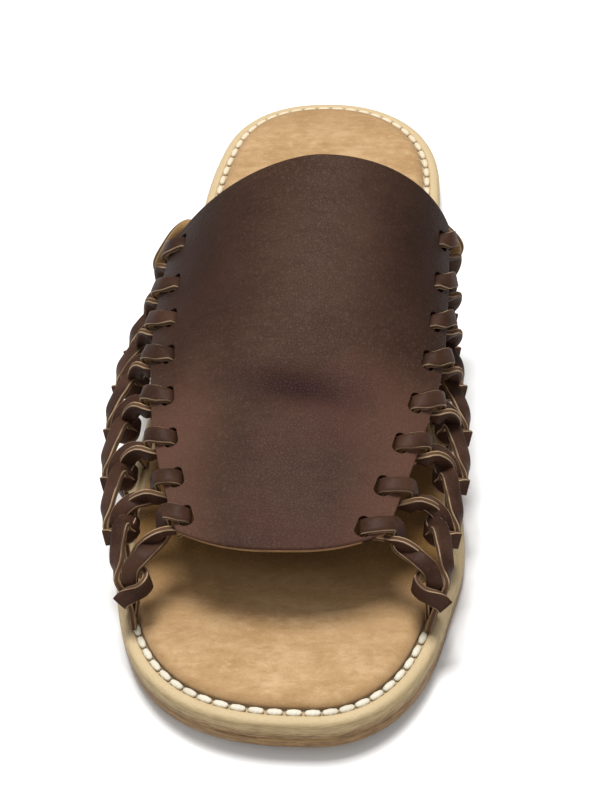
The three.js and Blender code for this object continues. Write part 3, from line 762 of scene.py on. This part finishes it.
# Side lacing
# Flat strips cut from the same hide, dark on the grain side with raw tan edges. Eight hangers a side pass
# through the panel's slots and down to the welt, each hitched to one runner that winds from knot to knot.
STRIP_WIDE = 4.6
STRIP_THICK = 1.7
STRIP_STEP = 1.2
CHAIN_DOWN = 0.45  # share of the way down the side at which the knots lie
KNOTS = {
    # where each hanger is hitched to the runner, and how far the line of knots lies inside the upper
    "d": (38.4, 57.3, 77.1, 96.4, 114.7, 130.0, 143.3, 154.6),
    "lateral": (1.6, 1.2, 1.4, 1.4, 1.2, 1.8, 3.2, 4.2),
    "medial": (1.0, 2.1, 2.8, 3.2, 3.8, 4.4, 4.6, 4.6),
}
# how far behind its slot a hanger crosses the panel's edge, and how much it leans to its knot there
EDGE_LEAD, EDGE_LEAN = 1.8, 0.3
# how much the part that stands on edge leans to the knot, and how far down the side it is placed
LEAF_LEAN, LEAF_DOWN = 0.5, 0.3
# how far ahead of that crossing a hanger turns in under the panel
TUCK_LEAD = 4.3
# how far from the panel's middle surface a strip lies over or under it
OVER_PANEL = 2.1
# how far forward a hanger may come near the panel's front corner
FRONT_CORNER = PANEL_FRONT["middle"] + PANEL_FRONT["corner"]
TUCK_LIMIT, UNDER_LIMIT, SLOT_LIMIT = FRONT_CORNER - 1.2, FRONT_CORNER + 1.6, FRONT_CORNER + 1.0
FIRST_END_DROP = 2.2
OUT, IN, RIDGE, TOE = (0, 0, 1), (0, 0, -1), (0, 1, 0), (-1, 0, 0)
STRIP_SECTION = [
    # share of half the width, share of half the thickness, depth
    (-0.9, 1.0, 0.0), (-0.45, 1.06, 0.0), (0.0, 1.08, 0.0), (0.45, 1.06, 0.0), (0.9, 1.0, 0.0),
    (0.98, 0.72, 0.2), (1.0, 0.25, 0.42), (1.0, -0.25, 0.58), (0.98, -0.72, 0.8),
    (0.9, -1.0, 1.0), (0.0, -1.0, 1.0), (-0.9, -1.0, 1.0),
    (-0.98, -0.72, 0.8), (-1.0, -0.25, 0.58), (-1.0, 0.25, 0.42), (-0.98, 0.72, 0.2),
]
STRIP_TONES = {
    "hide": [(0.028, 0.012, 0.007, 1), (0.056, 0.026, 0.016, 1)],
    "grain": (0.095, 0.052, 0.036, 1),
    "light_edge": [(0.22, 0.14, 0.08, 1), (0.44, 0.32, 0.20, 1)],
    "core": [(0.05, 0.025, 0.015, 1), (0.12, 0.065, 0.035, 1)],
    "flesh": [(0.23, 0.13, 0.05, 1), (0.42, 0.27, 0.12, 1)],
}


def smooth_route(knots):
    """A smooth line through the knots, sampled closely. The first three columns of a knot are its place."""
    knots = np.array(knots, float)
    spans = np.linalg.norm(np.diff(knots[:, :3], axis=0), axis=1)
    at = np.concatenate([[0], np.cumsum(np.sqrt(spans))])
    slope = np.gradient(knots, at, axis=0)
    line = [knots[0]]
    for k, span in enumerate(spans):
        count = max(2, math.ceil(span / STRIP_STEP))
        gap = at[k + 1] - at[k]
        gain = knots[k + 1] - knots[k]
        for t in np.arange(1, count + 1) / count:
            line.append(eased(t, knots[k], gain, slope[k] * gap, slope[k + 1] * gap))
    return np.array(line)


def lay_strip(bm, route):
    """A flat strip through places, each with the direction that its grain faces."""
    line = smooth_route([(*place, *face) for place, face in route])
    tangents = np.gradient(line[:, :3], axis=0)
    rings = []
    for (*centre, a, b, c), tangent in zip(line, tangents):
        tangent = unit(tangent)
        face = np.array((a, b, c))
        grain_side = unit(face - tangent * np.dot(face, tangent)) * STRIP_THICK / 2
        half = np.cross(tangent, unit(grain_side)) * STRIP_WIDE / 2
        rings.append([np.array(centre) + half * w + grain_side * h for w, h, _ in STRIP_SECTION])
    count = len(STRIP_SECTION)
    mapped_grid(bm, count, len(rings) - 1, lambda i, j: to_scene(*rings[j][i % count]),
                depth=lambda i, j: STRIP_SECTION[i % count][2])


def on_wall(side, d, q, n, face):
    """A place q up the upper from the panel's edge and n out of it. The face is given along, up and out."""
    place, along, up, out = wall_frame(side, d, q)
    return place + out * n, along * face[0] + up * face[1] + out * face[2]


def by_chain(side, d, out, up, face):
    """A place out and up from the line of knots along the side, which lies a little inside the upper."""
    place = wall_point(side, d, -CHAIN_DOWN * wall_drop(side, d))
    sink = column(KNOTS, "lateral" if side < 0 else "medial", d)
    return place + np.array((side * (out - sink), 0, up)), np.array((side * face[2], face[0], face[1]))


def in_welt(side, d):
    """A place at the foot of the upper, in the welt."""
    return on_wall(side, d, -wall_drop(side, d), 0, OUT)


def hanger_route(side, k):
    """From the cut end outside the knot, round the knot, up on edge to the panel, through the slot from
    below, back over the panel's edge, and down through the knot to the welt. The first is held back
    by the panel's front corner, and its cut end falls."""
    slot, inset = SLOTS[side][k]
    knot = KNOTS["d"][k]
    first = k == 0
    drop = FIRST_END_DROP if first else 0
    edge = slot + EDGE_LEAD + (0 if first else EDGE_LEAN * (knot - slot))
    tuck = max(edge - TUCK_LEAD, TUCK_LIMIT)
    leaf = slot + LEAF_LEAN * (knot - slot)
    leaf_end = -LEAF_DOWN * wall_drop(side, leaf)
    return [
        by_chain(side, knot - 4.3 - 0.8 * drop, 5.6, -3.5 - drop, (-0.8, 0.5, 0.2)),
        by_chain(side, knot - 4.5 - 0.5 * drop, 4.4, -3.0 - 0.7 * drop, (-0.8, 0.4, 0.4)),
        by_chain(side, knot - 5.0 - 0.2 * drop, 2.2, -2.2 - 0.3 * drop, (-0.9, 0.1, 0.3)),
        by_chain(side, knot - 4.8, -0.8, -1.8, (-0.9, 0.1, -0.3)),
        by_chain(side, knot - 2.8, -3.0, -1.0, (-0.5, 0.2, -0.8)),
        by_chain(side, knot + 0.8, -2.6, -1.8, (0, 0.1, -1)),
        on_wall(side, 0.5 * (leaf + knot), leaf_end - 5.0, -2.6, (-0.4, 0.4, -0.6)),
        on_wall(side, leaf, leaf_end, -0.8, TOE),
        on_wall(side, (leaf + tuck) / 2, -5.2, 0.6, TOE),
        on_wall(side, tuck, -2.8, -1.0, (-0.95, 0, -0.3)),
        on_wall(side, max(tuck + 1.1, UNDER_LIMIT), -1.0, -3.6, (-0.4, 0, -0.9)),
        on_wall(side, max(slot - 1.2, UNDER_LIMIT), 0.25 * inset, -OVER_PANEL - 0.6, IN),
        on_wall(side, max(slot - 0.4, SLOT_LIMIT), 0.68 * inset, -OVER_PANEL, IN),
        on_wall(side, slot, inset + 0.4, 0, RIDGE),
        on_wall(side, 0.8 * slot + 0.2 * edge, 0.65 * inset, OVER_PANEL, OUT),
        on_wall(side, 0.4 * slot + 0.6 * edge, 0.25 * inset, OVER_PANEL + 0.4, OUT),
        on_wall(side, edge, -1.2, 2.0, OUT),
        on_wall(side, edge + 0.3 * (knot - edge), -5.0, -2.8, OUT),
        by_chain(side, knot + 1.6, -3.2, 4.4, (-0.4, 0.85, 0.1)),
        by_chain(side, knot - 0.6, 0.4, 2.4, (-0.6, 0.75, 0.2)),
        by_chain(side, knot - 2.2, 1.8, -1.2, (-0.95, 0.2, 0.2)),
        by_chain(side, knot - 2.2, 1.6, -5.0, (-0.8, 0, 0.5)),
        in_welt(side, knot - 1.5),
    ]


def runner_start(side):
    """The lateral runner loops round the panel's back corner with its flesh side out, and the medial one
    comes from inside the panel."""
    if side < 0:
        return [
            on_wall(side, 152, 8.0, -OVER_PANEL - 0.6, IN),
            on_wall(side, 156, 7.5, -OVER_PANEL - 0.4, (0.1, -0.1, -1)),
            on_wall(side, 158.2, 5.5, -1.0, (0.6, -0.2, -0.6)),
            on_wall(side, 158.2, 1.5, 0.3, (0.9, 0, 0.1)),
            on_wall(side, 157, -3.0, 1.0, (0.9, 0, 0.35)),
            on_wall(side, 155.8, -8.5, 1.6, (0.7, 0.3, 0.6)),
        ]
    return [
        on_wall(side, 150.5, 7.0, -OVER_PANEL - 0.8, IN),
        on_wall(side, 153, 2.0, -OVER_PANEL - 0.8, (0.5, 0, -0.85)),
        on_wall(side, 154.6, -3.0, -1.6, (0.9, 0.1, -0.3)),
        on_wall(side, 155.2, -8.5, 1.0, (0.7, 0.3, 0.6)),
    ]


def runner_route(side):
    """From the panel's back corner over the side from each knot to the next, winding once round each, and
    down to the welt ahead of the first."""
    route = runner_start(side)
    before = None
    for knot in reversed(KNOTS["d"]):
        if before:
            route += [
                by_chain(side, before - 4.6, 0.2, 2.6, (-0.2, 0.9, 0.2)),
                by_chain(side, knot + 0.42 * (before - knot), 2.4, 2.0, (-0.25, 0.8, 0.5)),
            ]
        route += [
            by_chain(side, knot + 2.2, 4.0, 1.0, (-0.2, 0.7, 0.7)),
            by_chain(side, knot - 0.5, 4.8, -2.0, (0, 0.1, 1)),
        ]
        if knot != KNOTS["d"][0]:
            route += [
                by_chain(side, knot - 1.4, 3.0, -5.6, (0, -0.7, 0.7)),
                by_chain(side, knot - 1.5, -1.0, -6.2, (0, -1, -0.2)),
                by_chain(side, knot - 1.3, -3.2, -3.4, (0, -0.3, -0.95)),
                by_chain(side, knot - 2.6, -2.4, 0.4, (-0.2, 0.6, -0.75)),
            ]
        before = knot
    route += [
        by_chain(side, before - 2.6, 3.4, -7.0, (-0.3, 0, 0.95)),
        in_welt(side, before - 5),
    ]
    return route


strip_finish, shader, where = new_finish("strip_leather", {"Specular IOR Level": 0.08})
depth = marked(where, "depth")
clouds = noise(where, scale=90, detail=3, roughness=0.55)
grain = noise(where, scale=1150, detail=4, roughness=0.6)
rubbed = noise(where, scale=220, detail=3, roughness=0.6)
stained = noise(where, scale=95, detail=2)
tone = tint(rise(clouds, 0.3, 0.7), *STRIP_TONES["hide"])
tone = tint(rise(grain, 0.5, 0.75) * 0.25, tone, STRIP_TONES["grain"])
core = tint(rubbed, *STRIP_TONES["core"])
light_edge = tint(rubbed, *STRIP_TONES["light_edge"])
light_edge = tint(rise(stained, 0.46, 0.62) * 0.75, light_edge, core)
flesh = tint(rubbed, *STRIP_TONES["flesh"])
middle = rise(depth, 0.24, 0.36) * (1 - rise(depth, 0.64, 0.76))
cut_edge = tint(middle, light_edge, core)
tone = tint(rise(depth + 0.08 * rubbed, 0.07, 0.16), tone, cut_edge)
tone = tint(rise(depth, 0.84, 0.93), tone, flesh)
feed(shader, Base_Color=tone, Roughness=0.42 + 0.16 * grain + 0.3 * rise(depth, 0.1, 0.3),
     Normal=bump(grain, depth=0.00012))
for side, name in ((-1, "lateral"), (1, "medial")):
    bm = bmesh.new()
    for k in range(len(SLOTS[side])):
        lay_strip(bm, hanger_route(side, k))
    lay_strip(bm, runner_route(side))
    bmesh.ops.holes_fill(bm, edges=[e for e in bm.edges if e.is_boundary], sides=0)
    bmesh.ops.recalc_face_normals(bm, faces=bm.faces[:])
    lacing = finished_piece(bm, "woven_side_" + name, strip_finish)
    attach(lacing, "root")
    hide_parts("lacing_" + name)
